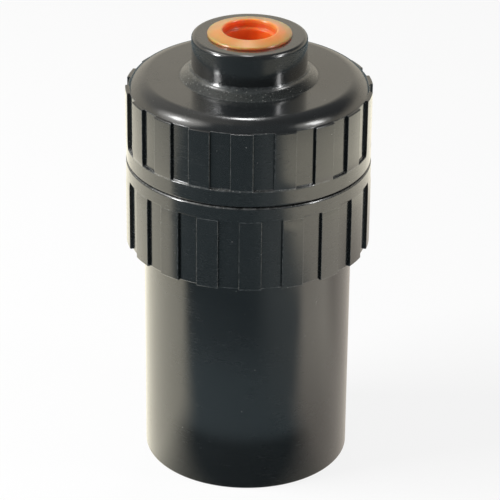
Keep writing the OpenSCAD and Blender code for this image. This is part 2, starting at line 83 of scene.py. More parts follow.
barrel_r, barrel_low, barrel_top = span("barrel")
base_r, base_low, seat_top = span("inlet_base")
_, collar_low, rim_top = span("body_collar")
_, cap_low, neck_top = span("cap")
foot_r, riser_low, riser_top = span("riser")
flange_r, pivot_low, nozzle_top = span("arc_collar")
_, spigot_low, wall_top = span("nozzle_base")
_, spring_low, spring_top = span("retraction_spring")
print("barrel radius", round(barrel_r, 2), "neck top", round(neck_top, 2))

# %% [markdown]
# ## Camera
#
# The photograph looks down at about 27 degrees through a long lens. The camera stands on the front
# side (-Y), aims at a point on the axis and rolls by half a degree, as the photograph does. A small
# shift puts the axis a little left of the middle of the picture.

# %% Camera
CAMERA_ELEVATION = math.radians(26.744)
CAMERA_DISTANCE = 637.4 * MM
AIM_HEIGHT = 51.07 * MM
CAMERA_ROLL = math.radians(0.568)
SENSOR_WIDTH, FOCAL_LENGTH = 36.0, 194.1
SHIFT_X = 0.00485

lens = bpy.data.cameras.new("photo_camera")
lens.sensor_width = SENSOR_WIDTH
lens.lens = FOCAL_LENGTH
lens.shift_x = SHIFT_X
camera = bpy.data.objects.new("photo_camera", lens)
camera.location = (
    0.0,
    -CAMERA_DISTANCE * math.cos(CAMERA_ELEVATION),
    AIM_HEIGHT + CAMERA_DISTANCE * math.sin(CAMERA_ELEVATION),
)
tilt = Matrix.Rotation(math.pi / 2 - CAMERA_ELEVATION, 3, "X")
camera.rotation_euler = (tilt @ Matrix.Rotation(CAMERA_ROLL, 3, "Z")).to_euler()
bpy.context.scene.collection.objects.link(camera)
bpy.context.scene.camera = camera
bpy.context.scene.view_settings.view_transform = "Standard"
print("camera at", [round(v, 3) for v in camera.location])

# %% [markdown]
# ## Surfaces from grids
#
# Almost every piece here is a turned shape, so one tool does most of the work: an outline in the
# half plane of radius and height, carried round the axis. A lathe or Blender's Screw modifier would
# give the same ring, but a grid of numbers lets the radius change with the angle, which is what the
# grip ribs need. A shell is a grid of points whose columns close on themselves, and whose rows
# either close into a ring or end in two flat faces. The functions below give a shell as its points,
# whether it is a ring, and its edge marks, which the finishes read later.

# %% Outlines
# How far from the end of a long side its support row lies
HOLD = 0.12


def corner_arc(corner, u, v, half, radius):
    """Points of an arc that touches both sides of a corner. The sides leave it along u and v.

    half is half the angle between the sides. The arc starts radius / tan(half) away from the
    corner, and its middle lies radius / sin(half) away. It has 4 points and 3 more for each
    millimetre of radius, at most 12.
    """
    reach = radius / math.tan(half)
    middle = corner + (u + v) / np.linalg.norm(u + v) * radius / math.sin(half)
    sweep = math.pi - 2 * half
    first = (corner + u * reach - middle) / radius
    last = (corner + v * reach - middle) / radius
    across = (last - math.cos(sweep) * first) / math.sin(sweep)
    t = np.linspace(0, sweep, int(4 + min(8, 3 * radius)))[:, None]
    return middle + radius * (np.cos(t) * first + np.sin(t) * across)


def outline(corners, step=1.6):
    """A closed outline (r, z) with rounded corners, as rows of r, z and an edge mark.

    A corner is (r, z, radius), or (r, z) where it is sharp. Sides are divided into equal parts no
    longer than step, and a row close to each end of a long side keeps its shading flat. The mark is
    1 on an outward round corner.
    """
    sharp = np.array([c[:2] for c in corners], float)
    radii = np.array([c[2] if len(c) > 2 else 0.0 for c in corners], float)
    to_last = np.roll(sharp, 1, 0) - sharp
    to_next = np.roll(sharp, -1, 0) - sharp
    u = to_last / np.linalg.norm(to_last, axis=1)[:, None]
    v = to_next / np.linalg.norm(to_next, axis=1)[:, None]
    half = np.arccos(np.clip((u * v).sum(1), -1, 1)) / 2
    outward = u[:, 0] * v[:, 1] > u[:, 1] * v[:, 0]
    arcs = []
    for i, radius in enumerate(radii):
        arc = sharp[i : i + 1]
        if radius > 0:
            arc = corner_arc(sharp[i], u[i], v[i], half[i], radius)
        mark = float(radius > 0 and outward[i])
        arcs.append(np.column_stack([arc, np.full(len(arc), mark)]))
    rows = []
    for arc, following in zip(arcs, arcs[1:] + arcs[:1]):
        length = np.linalg.norm(following[0, :2] - arc[-1, :2])
        count = int(length // step) + 1
        t = np.arange(1, count) / count
        if length > 8 * HOLD:
            t = np.concatenate([[HOLD / length], t, [1 - HOLD / length]])
        side = arc[-1] + (following[0] - arc[-1]) * t[:, None]
        side[:, 2:] = 0
        rows += [arc, side]
    return np.concatenate(rows)


def arc_corners(centre, radius, start, end, count):
    """Sharp corners on an arc, centre + radius (cos t, sin t), with t between two angles in degrees."""
    t = np.radians(np.linspace(start, end, count))
    return [(centre[0] + radius * a, centre[1] + radius * b) for a, b in zip(np.cos(t), np.sin(t))]


# %% Grids
def revolve(rows, angles):
    """Outline rows carried round the axis: x = r cos a, y = r sin a, z as it is.

    The rows are the same all round, or there is one set of rows for each angle.
    """
    rows = np.broadcast_to(rows, (len(angles),) + rows.shape[-2:])
    a = np.asarray(angles)[:, None]
    return np.stack([rows[..., 0] * np.cos(a), rows[..., 0] * np.sin(a), rows[..., 1]], -1)


def even_turn(count):
    """Evenly spaced angles of a full turn, in radians."""
    return np.arange(count) * 2 * np.pi / count


def turned(rows, count):
    """A shell of one outline, carried round the axis in a count of even steps."""
    return revolve(rows, even_turn(count)), True, rows[None, :, 2]


def smooth(t):
    """Smooth step from 0 at t = 0 to 1 at t = 1: t squared times (3 - 2 t)."""
    t = np.clip(t, 0, 1)
    return t * t * (3 - 2 * t)


def bar(r0, r1, z0, z1, width, angle, soft=0.2, sides=16):
    """A shell of an upright bar that points outwards: a squarish superellipse carried up the axis.

    Its plan is cos t and sin t, each to the power of a quarter with its sign kept. Both ends shrink
    by soft, which takes the edge off them.
    """
    t = even_turn(sides)
    c, s = np.cos(t), np.sin(t)
    plan = np.stack([np.sign(c) * np.abs(c) ** 0.25, np.sign(s) * np.abs(s) ** 0.25], -1)
    lift = np.array([z0, z0 + soft, z1 - soft, z1])
    shrink = np.array([soft, 0, 0, soft])[:, None]
    along = (r0 + r1) / 2 + plan[None, :, 0] * ((r1 - r0) / 2 - shrink)
    beside = plan[None, :, 1] * (width / 2 - shrink)
    ca, sa = math.cos(angle), math.sin(angle)
    z = np.broadcast_to(lift[:, None], along.shape)
    return np.stack([along * ca - beside * sa, along * sa + beside * ca, z], -1), False, 0.0


# %% Meshes
# Faces that meet at more than this angle keep a sharp edge between them
SHARP_ANGLE = math.radians(38)


def grid_faces(rows, columns, ring):
    """Corner numbers of the four-sided faces of a grid whose columns close on themselves."""
    i = np.arange(rows if ring else rows - 1)[:, None]
    j = np.arange(columns)[None, :]
    k, m = (i + 1) % rows, (j + 1) % columns
    faces = [i * columns + j, k * columns + j, k * columns + m, i * columns + m]
    return np.stack(np.broadcast_arrays(*faces), -1).reshape(-1, 4)


def shell_data(points, ring):
    """Points and corner lists of one closed shell, turned so that its signed volume is positive.

    The sign is that of the sum of a . (b x c) over triangles with the corners a, b and c.
    """
    rows, columns = points.shape[:2]
    flat = points.reshape(-1, 3)
    quads = grid_faces(rows, columns, ring)
    ends = np.zeros((0, columns), int)
    if not ring:
        ends = np.stack([np.arange(columns), (rows - 1) * columns + np.arange(columns)[::-1]])
    triangles = np.concatenate([quads[:, [0, 1, 2]], quads[:, [0, 2, 3]]])
    fan = np.arange(1, columns - 1)
    for end in ends:
        wedges = np.stack([np.full(columns - 2, end[0]), end[fan], end[fan + 1]], -1)
        triangles = np.concatenate([triangles, wedges])
    a, b, c = (flat[triangles[:, n]] for n in range(3))
    if np.einsum("ij,ij->i", a, np.cross(b, c)).sum() < 0:
        quads, ends = quads[:, ::-1], ends[:, ::-1]
    return flat, quads, ends


def make_piece(name, shells, material, body, nodes):
    """One object made of closed shells, which rides on a body and stands for CAD nodes."""
    points, corners, sizes, marks, base = [], [], [], [], 0
    for grid, ring, mark in shells:
        flat, quads, ends = shell_data(grid, ring)
        for faces in (quads, ends):
            corners.append(faces.ravel() + base)
            sizes.append(np.full(len(faces), faces.shape[1]))
        points.append(flat)
        marks.append(np.broadcast_to(mark, grid.shape[:2]).ravel())
        base += len(flat)
    points = np.concatenate(points) * MM
    corners = np.concatenate(corners)
    sizes = np.concatenate(sizes)
    mesh = bpy.data.meshes.new(name)
    mesh.vertices.add(len(points))
    mesh.vertices.foreach_set("co", points.ravel())
    mesh.loops.add(len(corners))
    mesh.loops.foreach_set("vertex_index", corners)
    mesh.polygons.add(len(sizes))
    mesh.polygons.foreach_set("loop_start", np.concatenate([[0], np.cumsum(sizes)[:-1]]))
    mesh.polygons.foreach_set("loop_total", sizes)
    mesh.update(calc_edges=True)
    mesh.attributes.new("edge", "FLOAT", "POINT").data.foreach_set("value", np.concatenate(marks))
    mesh.shade_smooth()
    mesh.set_sharp_from_angle(angle=SHARP_ANGLE)
    mesh.validate()
    mesh.materials.append(material)
    piece = bpy.data.objects.new(name, mesh)
    bpy.context.scene.collection.objects.link(piece)
    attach(piece, body)
    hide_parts(*nodes)
    print(name, "has", len(points), "points and", len(sizes), "faces")
    return piece


# %% [markdown]
# ## Finishes
#
# Shader nodes are written as Python expressions. A Wire is one output socket of a node tree: plus,
# minus, times and the rest add a Math node, so a line of shader reads like a line of arithmetic.
# Colours are mixed, never added up by Math nodes, which would turn them grey.


# %% The wire class
class Wire:
    """An output socket. Operators add Math nodes; node() adds any other node."""

    def __init__(self, tree, socket=None):
        self.tree = tree
        self.socket = socket

    def node(self, kind, settings=None, sockets=None, output=0):
        """A node of a type, with its settings first, then values or wires for its sockets."""
        made = self.tree.nodes.new(kind)
        for key, value in (settings or {}).items():
            setattr(made, key, value)
        for key, value in (sockets or {}).items():
            if isinstance(value, Wire):
                self.tree.links.new(value.socket, made.inputs[key])
            else:
                made.inputs[key].default_value = value
        return Wire(self.tree, made.outputs[output] if len(made.outputs) else None)

    def math(self, operation, *values):
        """A Math node on wires and numbers."""
        return self.node("ShaderNodeMath", {"operation": operation}, dict(enumerate(values)))

    def __add__(self, other):
        return self.math("ADD", self, other)

    __radd__ = __add__

    def __sub__(self, other):
        return self.math("SUBTRACT", self, other)

    def __rsub__(self, other):
        return self.math("SUBTRACT", other, self)

    def __mul__(self, other):
        return self.math("MULTIPLY", self, other)

    __rmul__ = __mul__

    def __truediv__(self, other):
        return self.math("DIVIDE", self, other)

    def __rtruediv__(self, other):
        return self.math("DIVIDE", other, self)

    def __abs__(self):
        return self.math("ABSOLUTE", self)

    def ease(self, low, high):
        """0 below low, 1 above high, smooth between; low may lie above high."""
        sockets = {"Value": self, "From Min": low, "From Max": high}
        return self.node("ShaderNodeMapRange", {"interpolation_type": "SMOOTHSTEP"}, sockets)

    def mix(self, first, second):
        """A colour that goes from first to second as this wire goes from 0 to 1."""
        sockets = {0: self, 6: first, 7: second}
        return self.node("ShaderNodeMix", {"data_type": "RGBA"}, sockets, 2)

    def noise(self, size, detail=2.0, stretch=(1.0, 1.0, 1.0)):
        """Noise from 0 to 1 on object coordinates, with features of a size in millimetres."""
        place = self.node("ShaderNodeTexCoord", output="Object")
        place = self.node("ShaderNodeMapping", sockets={"Vector": place, "Scale": stretch})
        sockets = {"Vector": place, "Scale": 1 / (size * MM), "Detail": detail}
        return self.node("ShaderNodeTexNoise", sockets=sockets)

    def specks(self, size, share):
        """1 inside small round specks: Voronoi cells of a size, of which only a share have one.

        A speck fades out from 0.12 to 0.32 of a cell's size away from its middle.
        """
        place = self.node("ShaderNodeTexCoord", output="Object")
        sockets = {"Vector": place, "Scale": 1 / (size * MM)}
        near = self.node("ShaderNodeTexVoronoi", sockets=sockets, output="Distance")
        tint = self.node("ShaderNodeTexVoronoi", sockets=sockets, output="Color")
        pick = self.node("ShaderNodeSeparateColor", sockets={0: tint})
        return near.ease(0.32, 0.12) * pick.ease(1 - share, 1 - share + 0.01)

    def edge(self):
        """The edge mark that the piece carries on its points."""
        return self.node("ShaderNodeAttribute", {"attribute_name": "edge"}, output="Fac")

    def height(self, wire, depth, strength=1.0):
        """A normal from a height wire, with a depth in millimetres."""
        sockets = {"Height": wire, "Distance": depth * MM, "Strength": strength}
        return self.node("ShaderNodeBump", sockets=sockets)


def finish(name, constants, feeds):
    """A material: constants on the shader's own sockets, and feeds made by functions of a wire."""
    material = bpy.data.materials.new(name)
    material.use_nodes = True
    tree = material.node_tree
    shader = tree.nodes["Principled BSDF"]
    for key, value in constants.items():
        shader.inputs[key].default_value = value
    for key, feed in feeds.items():
        tree.links.new(feed(Wire(tree)).socket, shader.inputs[key])
    print("finish", name, "with", len(tree.nodes), "nodes")
    return material


# %% [markdown]
# ### Black plastic
#
# The cap, collar and barrel are glossy black plastic. Its colour is nearly black with a cool tint.
# One flat black would look like a hole in the picture. What makes it look real is the gloss: the
# moulded skin is not quite even, fine dust sits in it, and the edges are rubbed a little paler, so
# noise drives the roughness and a faint bump. The edge mark says where: it is 1 on a rubbed edge
# and more on a dusty one. Below 0 it is a corner at the foot of a rib, where shade is painted in:
# it is darker than the rest, as it is in the photograph.

# %% Black plastic
BLACK = (0.0105, 0.0125, 0.0135, 1)
RUBBED = (0.100, 0.106, 0.108, 1)
DUST = (0.32, 0.32, 0.30, 1)
NICK = (0.50, 0.50, 0.47, 1)
# Painted shade for the corners at the feet of the ribs
CORNER_SHADE = (0.0020, 0.0024, 0.0026, 1)
FILM = (0.026, 0.031, 0.030, 1)


def black_colour(rub, dust, film=None):
    """Black, rubbed where the edge mark is 1, nicked where it is more, shade painted where it is below
    0.

    rub says how strongly, and dust what share of the cells holds a fleck. A film adds more dust.
    """

    def feed(w):
        worn = w.edge().ease(0.2, 1.0) * w.noise(1.2, 4).ease(0.3, 0.7) * rub
        chips = 0.06 + 0.94 * w.specks(0.36, 0.6)
        nicks = w.edge().ease(1.1, 1.8) * chips * w.noise(5).ease(0.3, 0.5)
        flecks = w.specks(0.5, dust) * w.noise(6).ease(0.4, 0.7)
        colour = nicks.mix(worn.mix(BLACK, RUBBED), NICK)
        # Where the mark is below 0, at a rib's foot, shade is painted into the colour
        colour = w.edge().ease(-0.3, -0.8).mix(colour, CORNER_SHADE)
        if film:
            colour = film(w).mix(colour, FILM)
            colour = (film(w) * w.specks(0.55, 0.4)).mix(colour, DUST)
        return flecks.mix(colour, DUST)

    return feed


def black_gloss(low, high, film=None):
    """Roughness from low to high in wide clouds, with fine scuffs that run round the piece.

    A film of dust, where one is given, makes it rougher.
    """

    def feed(w):
        clouds = w.noise(9, 4).ease(0.3, 0.75)
        scuffs = w.noise(2.5, 4, (1, 1, 7)).ease(0.52, 0.70)
        rough = low + (high - low) * clouds + 0.05 * w.noise(0.5) + 0.08 * scuffs
        return rough + 0.12 * film(w) if film else rough

    return feed


# The film of dust begins and is full at these depths below the neck's top and at these radii
FILM_DOWN = (7.5, 8.1)
FILM_R = (16.6, 15.6)


def neck_film(w):
    """1 on the slope at the foot of the neck, where dust stays: near in radius and low, grainy."""
    place = w.node("ShaderNodeTexCoord", output="Object")
    z = w.node("ShaderNodeSeparateXYZ", sockets={0: place}, output="Z")
    flat = w.node("ShaderNodeMapping", sockets={"Vector": place, "Scale": (1, 1, 0)})
    radius = w.node("ShaderNodeVectorMath", {"operation": "LENGTH"}, {0: flat}, "Value")
    low_down = z.ease(*((neck_top - down) * MM for down in FILM_DOWN))
    near_neck = radius.ease(*(r * MM for r in FILM_R))
    return low_down * near_neck * (0.35 + 0.65 * w.noise(0.4, 3).ease(0.35, 0.65))


def moulded_skin(w):
    """A faint unevenness: fine grain on wide swells."""
    return w.height(w.noise(0.9, 3) * 0.5 + w.noise(5, 2), 0.003, 0.5)


GLOSS = {"IOR": 1.62, "Coat Weight": 1.0, "Coat Roughness": 0.13, "Coat IOR": 1.6}
cap_black = finish("cap_black", GLOSS, {
    "Base Color": black_colour(0.8, 0.015, neck_film),
    "Roughness": black_gloss(0.14, 0.24, neck_film),
    "Coat Weight": lambda w: 1 - 0.5 * neck_film(w),
    "Normal": moulded_skin,
})
collar_black = finish("collar_black", GLOSS, {
    "Base Color": black_colour(0.8, 0.015),
    "Roughness": black_gloss(0.14, 0.24),
    "Normal": moulded_skin,
})
tube_black = finish("tube_black", GLOSS, {
    "Base Color": black_colour(0.5, 0.012),
    "Roughness": black_gloss(0.12, 0.22),
    "Normal": lambda w: w.height(w.noise(1.2, 3, (1, 1, 0.08)) + w.noise(7, 2), 0.004, 0.5),
})
inner_black = finish("inner_black", {"IOR": 1.5}, {
    "Base Color": black_colour(0.3, 0.004),
    "Roughness": black_gloss(0.3, 0.42),
    "Normal": moulded_skin,
})

# %% [markdown]
# ### Orange plastic
#
# The nozzle is a bright orange moulding that lets some light in. A plain orange would look like
# paint. Light that enters the real plastic spreads and comes out redder, so the finish scatters
# light under its surface. In the recess the light goes from wall to wall and gets redder still.
# A deeper orange down there is painted shade that stands in for that redder light.

# %% Orange plastic
ORANGE = (0.96, 0.28, 0.06, 1)
ORANGE_PALE = (0.98, 0.32, 0.08, 1)
# Painted shade: a deeper orange down in the recess, for light that goes from wall to wall
ORANGE_SHADE = (0.88, 0.16, 0.025, 1)
GLOW = {"Subsurface Weight": 0.85, "Subsurface Radius": (1.0, 0.12, 0.03), "Subsurface Scale": 8 * MM}
SHEEN = {"IOR": 1.55, "Coat Weight": 1.0, "Coat IOR": 1.6, "Coat Roughness": 0.2}


def orange_colour(w):
    """Orange in soft clouds, with shade painted deeper where the edge mark is 2, down in the recess."""
    clouds = w.noise(2.5, 3).ease(0.3, 0.7).mix(ORANGE, ORANGE_PALE)
    return w.edge().ease(1.1, 1.9).mix(clouds, ORANGE_SHADE)


orange = finish("nozzle_orange", {**SHEEN, **GLOW}, {
    "Base Color": orange_colour,
    "Roughness": lambda w: 0.3 + 0.14 * w.noise(1.5, 3),
    "Normal": lambda w: w.height(w.noise(0.6, 3), 0.006, 0.5),
})

# %% [markdown]
# ### Rubber, steel and the inner plastics
#
# Inside the body are black rubber seals, steel wire, and the pale and grey mouldings of the guide,
# the filter and the ratchet. They hardly show while the sprinkler is whole, so each has a short
# recipe: a colour that drifts between two tones, a roughness that drifts too, and a fine bump.

# %% Inner finishes
RUBBER, RUBBER_PALE = (0.016, 0.016, 0.016, 1), (0.034, 0.034, 0.034, 1)
STEEL, STEEL_PALE = (0.52, 0.52, 0.53, 1), (0.66, 0.66, 0.67, 1)
NATURAL, NATURAL_PALE = (0.66, 0.64, 0.57, 1), (0.74, 0.72, 0.66, 1)
GREY, GREY_PALE = (0.10, 0.10, 0.105, 1), (0.15, 0.15, 0.155, 1)
MILKY = {"IOR": 1.5, "Subsurface Weight": 0.15, "Subsurface Scale": 1 * MM}

rubber = finish("seal_rubber", {"IOR": 1.5}, {
    "Base Color": lambda w: w.noise(1.5, 4).mix(RUBBER, RUBBER_PALE),
    "Roughness": lambda w: 0.6 + 0.2 * w.noise(0.8),
    "Normal": lambda w: w.height(w.noise(0.25, 2), 0.01, 0.5),
})
steel = finish("spring_steel", {"Metallic": 1.0}, {
    "Base Color": lambda w: w.noise(3, 3).mix(STEEL, STEEL_PALE),
    "Roughness": lambda w: 0.24 + 0.16 * w.noise(0.5, 3, (1, 1, 0.3)),
    "Normal": lambda w: w.height(w.noise(0.2, 2, (1, 1, 6)), 0.003, 0.4),
})
natural = finish("natural_plastic", MILKY, {
    "Base Color": lambda w: w.noise(4, 3).mix(NATURAL, NATURAL_PALE),
    "Roughness": lambda w: 0.36 + 0.14 * w.noise(1.2, 3),
    "Normal": lambda w: w.height(w.noise(0.5, 3), 0.006, 0.4),
})
grey = finish("grey_plastic", {"IOR": 1.5}, {
    "Base Color": lambda w: w.noise(4, 3).mix(GREY, GREY_PALE),
    "Roughness": lambda w: 0.38 + 0.14 * w.noise(1.2, 3),
    "Normal": lambda w: w.height(w.noise(0.5, 3), 0.006, 0.4),
})

# %% [markdown]
# ## Grip ribs
#
# Eighteen low ribs stand round the cap and round the collar. They could be cut out with booleans,
# but here each ribbed piece has two outlines with the same number of points, one through a groove
# and one through a rib. Every angle gets a rib height from 0 to 1, and the surface there lies that
# far on the way from one outline to the other. The angles crowd on the rib edges, which are small
# rounds that catch the light as moulded edges do. The steep sides and a strip at their feet carry
# the mark of a corner where shade is painted in.

# %% Rib angles
# How many ribs there are, and the angle that each takes up
RIB_COUNT, RIB_ANGLE = 18, 10.4
# Height of a rib, the round of its edges, how far its sides lean and the strip of painted shade at its
# foot
RIB_H, RIB_ROUND, RIB_DRAFT, SHADE_STRIP_W = 0.7, 0.09, 0.02, 0.26
# Length over which a rib eases into the smooth band
RIB_EASE = 1.4
# Edge marks of flecked rows, and of rows that are dusty on black plastic and painted deeper as shade in
# the orange recess
FLECKED, DUST_AND_SHADE = 1.6, 2.0
quarter = np.linspace(0, np.pi / 2, 6)


def rib_turn(centre, radius):
    """Angles of a full turn, in radians, with the rib height from 0 to 1 and the edge mark at each.

    The way inwards from a rib's edge starts on the groove floor, climbs the flank, and ends on the
    rib. Over the round edge it goes as 1 - cos t, and the height as 1 - share + share sin t, where
    share is the part of the rib's height that is round.
    """
    share = RIB_ROUND / RIB_H
    # Rows beside the edge, on the groove floor and on the rib, keep the shading there flat
    floor = np.array([-0.55, -0.3, -SHADE_STRIP_W, -RIB_DRAFT - 0.02])
    flank = np.array([0.0, 0.06, 0.94])
    round_in = RIB_ROUND * (1 - np.cos(quarter))
    round_up = 1 - share + share * np.sin(quarter)
    inwards = np.concatenate([floor, RIB_DRAFT * (flank - 1), round_in, [RIB_ROUND + 0.15]])
    rise = np.concatenate([0 * floor, flank * (1 - share), round_up, [1]])
    edge = RIB_ANGLE / 2 - np.degrees(inwards / radius)
    pitch = 360 / RIB_COUNT
    inner = np.linspace(-1, 1, 5)[1:-1] * edge[-1]
    outer = np.linspace(edge[0], pitch - edge[0], 5)[1:-1]
    local = np.concatenate([-edge, inner, edge[::-1], outer])
    height = np.concatenate([rise, np.ones(3), rise[::-1], np.zeros(3)])
    # Rows at a rib's foot get a mark below 0, where shade is painted in
    corner = (inwards < 0) & (inwards >= -SHADE_STRIP_W)
    rubbed = (inwards >= 0) & (inwards < RIB_ROUND + 0.01)
    side = 1.0 * rubbed - 1.0 * corner
    mark = np.concatenate([side, np.zeros(3), side[::-1], np.zeros(3)])
    turns = centre - 90 + pitch * np.arange(RIB_COUNT)[:, None] + local[None, :]
    return np.radians(turns.ravel()), np.tile(height, RIB_COUNT), np.tile(mark, RIB_COUNT)


def ribbed(groove, rib, centre):
    """A shell between two outlines: groove + height (rib - groove) at each angle."""
    angles, height, edge = rib_turn(centre, rib[:, 0].max())
    rows = groove + height[:, None, None] * (rib - groove)
    raised = rib[:, 0] - groove[:, 0] > RIB_H / 2
    across = edge[:, None] * raised
    along = rows[..., 2]
    mark = np.where(along > 0, np.maximum(along, across), across)
    return revolve(rows, angles), True, mark


def top_edge(r, z, size):
    """A quarter round that ends a wall of radius r at height z.

    Its points lie at r - size (1 - cos t) and z - size (1 - sin t), with t from 0 to 90 degrees.
    """
    return np.column_stack([r - size * (1 - np.cos(quarter)), z - size * (1 - np.sin(quarter))])


print("ribs:", RIB_COUNT, "of", RIB_ANGLE, "degrees")

# %% [markdown]
# ## Cap
#
# The cap is the most visible piece: a smooth band at its foot, the ribbed wall, a rounded shoulder
# and the neck, whose foot is a gentle slope with a round. The ribs end just under the shoulder in a
# small ledge. The inside has the roof, the seal pocket and an interrupted thread. The first outline
# runs through a groove. The rib's outline is a copy of it whose wall stands further out and ends in
# a larger round.

# %% Cap outlines
CAP_RIB_R, CAP_BAND_R, CAP_BORE_R = 28.45, 28.35, 25.45
CAP_FLOOR_R = CAP_RIB_R - RIB_H
RIB_LOW, RIB_TOP = cap_low + 3.85, cap_low + 17.7
ROOF, SHOULDER, LIP = neck_top - 13.15, neck_top - 9.9, neck_top - 5.2
NECK_R, POCKET_R, RISER_HOLE_R = 13.3, 11.3, 8.8
SHOULDER_R, SHOULDER_ROUND, LEDGE_ROUND = 28.25, 4.8, 0.08
FOOT_W, FOOT_H, FOOT_ROUND = 2.5, 1.6, 1.5
# The sill between a smooth band and the grooves: its reach on either side, its rounds and its zone
SILL_BAND, SILL_GROOVE, SILL_ROUND, SILL_ZONE = 0.04, 0.06, 0.12, 0.2
shoulder_middle = (SHOULDER_R - SHOULDER_ROUND, SHOULDER - SHOULDER_ROUND)
shoulder_start = math.degrees(math.asin((RIB_TOP - SHOULDER) / SHOULDER_ROUND + 1))
ledge = top_edge(CAP_FLOOR_R, RIB_TOP, LEDGE_ROUND)
cap_rows = outline(
    [(CAP_BORE_R, cap_low, 0.3), (CAP_BAND_R, cap_low, 0.35)]
    + [(CAP_BAND_R, RIB_LOW - 0.35), (CAP_BAND_R, RIB_LOW - SILL_BAND, SILL_ROUND)]
    + [(CAP_FLOOR_R, RIB_LOW + SILL_GROOVE, SILL_ROUND), (CAP_FLOOR_R, RIB_LOW + 0.35)]
    + ledge.tolist()
    + arc_corners(shoulder_middle, SHOULDER_ROUND, shoulder_start, 90, 14)
    + [(NECK_R + FOOT_W, SHOULDER, 0.5), (NECK_R, SHOULDER + FOOT_H, FOOT_ROUND)]
    + [(NECK_R, neck_top, 0.8), (RISER_HOLE_R, neck_top, 0.3)]
    + [(RISER_HOLE_R, LIP, 0.2), (POCKET_R, LIP), (POCKET_R, ROOF, 0.2), (CAP_BORE_R, ROOF, 0.6)]
)
ledge_first = np.hypot(*(cap_rows[:, :2] - ledge[0]).T).argmin()
ledge_rows = slice(ledge_first, ledge_first + len(ledge))
sill = (cap_rows[:, 0] > CAP_FLOOR_R - 0.1) & (np.abs(cap_rows[:, 1] - RIB_LOW) < SILL_ZONE)
cap_rows[sill, 2] = DUST_AND_SHADE
cap_ribs = cap_rows.copy()
cap_rows[ledge_rows, 2] = DUST_AND_SHADE
wall = np.arange(len(cap_rows)) < ledge_first
wall &= (cap_rows[:, 0] > CAP_BORE_R + 1) & (cap_rows[:, 1] > RIB_LOW - SILL_ZONE)
step_out = smooth((cap_rows[wall, 1] - RIB_LOW + SILL_ZONE) / RIB_EASE)
cap_ribs[wall, 0] = CAP_BAND_R + (CAP_RIB_R - CAP_BAND_R) * step_out
cap_ribs[wall, 1] = np.minimum(cap_rows[wall, 1], RIB_TOP - 2 * RIB_ROUND - HOLD)
cap_ribs[ledge_rows, :2] = top_edge(CAP_RIB_R, RIB_TOP, 2 * RIB_ROUND)
print("cap outlines of", len(cap_rows), "points")

# %% [markdown]
# The thread is made of short lugs along a helix, with vents between them. One long ridge would be
# simpler, but caps of this kind have vents. Each lug is a small trapezoid carried along its piece of
# the helix, and it fades out at both ends. The cap's lugs run midway between those of the collar.

# %% Thread lugs
THREAD_PITCH, LUGS_PER_TURN, LUG_ANGLE = 4.0, 10, 24.0
COLLAR_THREAD_LOW = rim_top - 12.825
CAP_THREAD_LOW = COLLAR_THREAD_LOW + THREAD_PITCH / 2
CAP_CREST_R, COLLAR_CREST_R = 24.9, 25.1
CAP_LUGS, COLLAR_LUGS = 20, 25


def thread_lugs(root_r, crest_r, first_z, count):
    """Lugs along a helix: a point at angle a lies at the height first_z + pitch a / 360.

    The crest sinks towards the root at both ends of a lug, and the back lies inside the wall.
    """
    t = np.array([-1, -0.9, -0.7, -0.35, 0, 0.35, 0.7, 0.9, 1.0]) * LUG_ANGLE / 2
    rise = np.array([0.1, 0.6, 1, 1, 1, 1, 1, 0.6, 0.1])
    back = root_r - np.sign(crest_r - root_r) * 0.3
    section_r = np.array([back, root_r, crest_r, crest_r, root_r, back])
    section_z = np.array([-0.7, -0.7, -0.5, 0.5, 0.7, 0.7])
    crest = root_r + (crest_r - root_r) * rise[:, None]
    r = np.where(section_r == crest_r, crest, section_r)
    lugs = []
    for turn in np.arange(count) * 360 / LUGS_PER_TURN:
        a = np.radians(turn + t)[:, None]
        z = first_z + THREAD_PITCH * (turn + t[:, None]) / 360 + section_z
        lugs.append((np.stack([r * np.cos(a), r * np.sin(a), z], -1), False, 0.0))
    return lugs


# %% Cap piece
CAP_TURN = -3.0
make_piece(
    "cap_shell",
    [ribbed(cap_rows, cap_ribs, CAP_TURN)]
    + thread_lugs(CAP_BORE_R, CAP_CREST_R, CAP_THREAD_LOW, CAP_LUGS),
    cap_black, "cap_group", ["cap"],
)

# %% [markdown]
# ## Collar
#
# The collar is cemented over the top of the barrel. It has the same ribs, turned a little against
# those of the cap, a smooth band under the seam, and the threaded neck that the cap screws onto.
# It is made as the cap is, from two outlines, and four guide bars stand inside its neck.

# %% Collar outlines
COLLAR_RIB_R, COLLAR_BAND_R = 28.55, 28.45
COLLAR_FLOOR_R = COLLAR_RIB_R - RIB_H
SEAM = cap_low - 0.25
BAND_LOW = SEAM - 3.4
SOCKET_R, THREAD_ROOT_R = 24.35, 24.2
collar_rows = outline([
    (SOCKET_R, collar_low, 0.25),
    (COLLAR_FLOOR_R - 0.8, collar_low),
    (COLLAR_FLOOR_R, collar_low, 0.2),
    (COLLAR_FLOOR_R, BAND_LOW - SILL_GROOVE, SILL_ROUND),
    (COLLAR_BAND_R, BAND_LOW + SILL_BAND, SILL_ROUND),
    (COLLAR_BAND_R, BAND_LOW + 0.4),
    (COLLAR_BAND_R, SEAM, 0.4),
    (THREAD_ROOT_R, SEAM, 0.3),
    (THREAD_ROOT_R, rim_top, 0.4),
    (BARREL_IN_R, rim_top, 0.3),
    (BARREL_IN_R, barrel_top),
    (SOCKET_R, barrel_top),
])
wall = (collar_rows[:, 0] > COLLAR_FLOOR_R - 0.5) & (collar_rows[:, 1] < BAND_LOW + SILL_ZONE)
near_band = smooth((collar_rows[wall, 1] - BAND_LOW + RIB_EASE) / RIB_EASE)
step_in = (COLLAR_RIB_R - COLLAR_BAND_R) * near_band
outside = collar_rows[:, 0] > COLLAR_FLOOR_R - 0.3
collar_rows[outside & (collar_rows[:, 1] > SEAM - 0.3), 2] = FLECKED
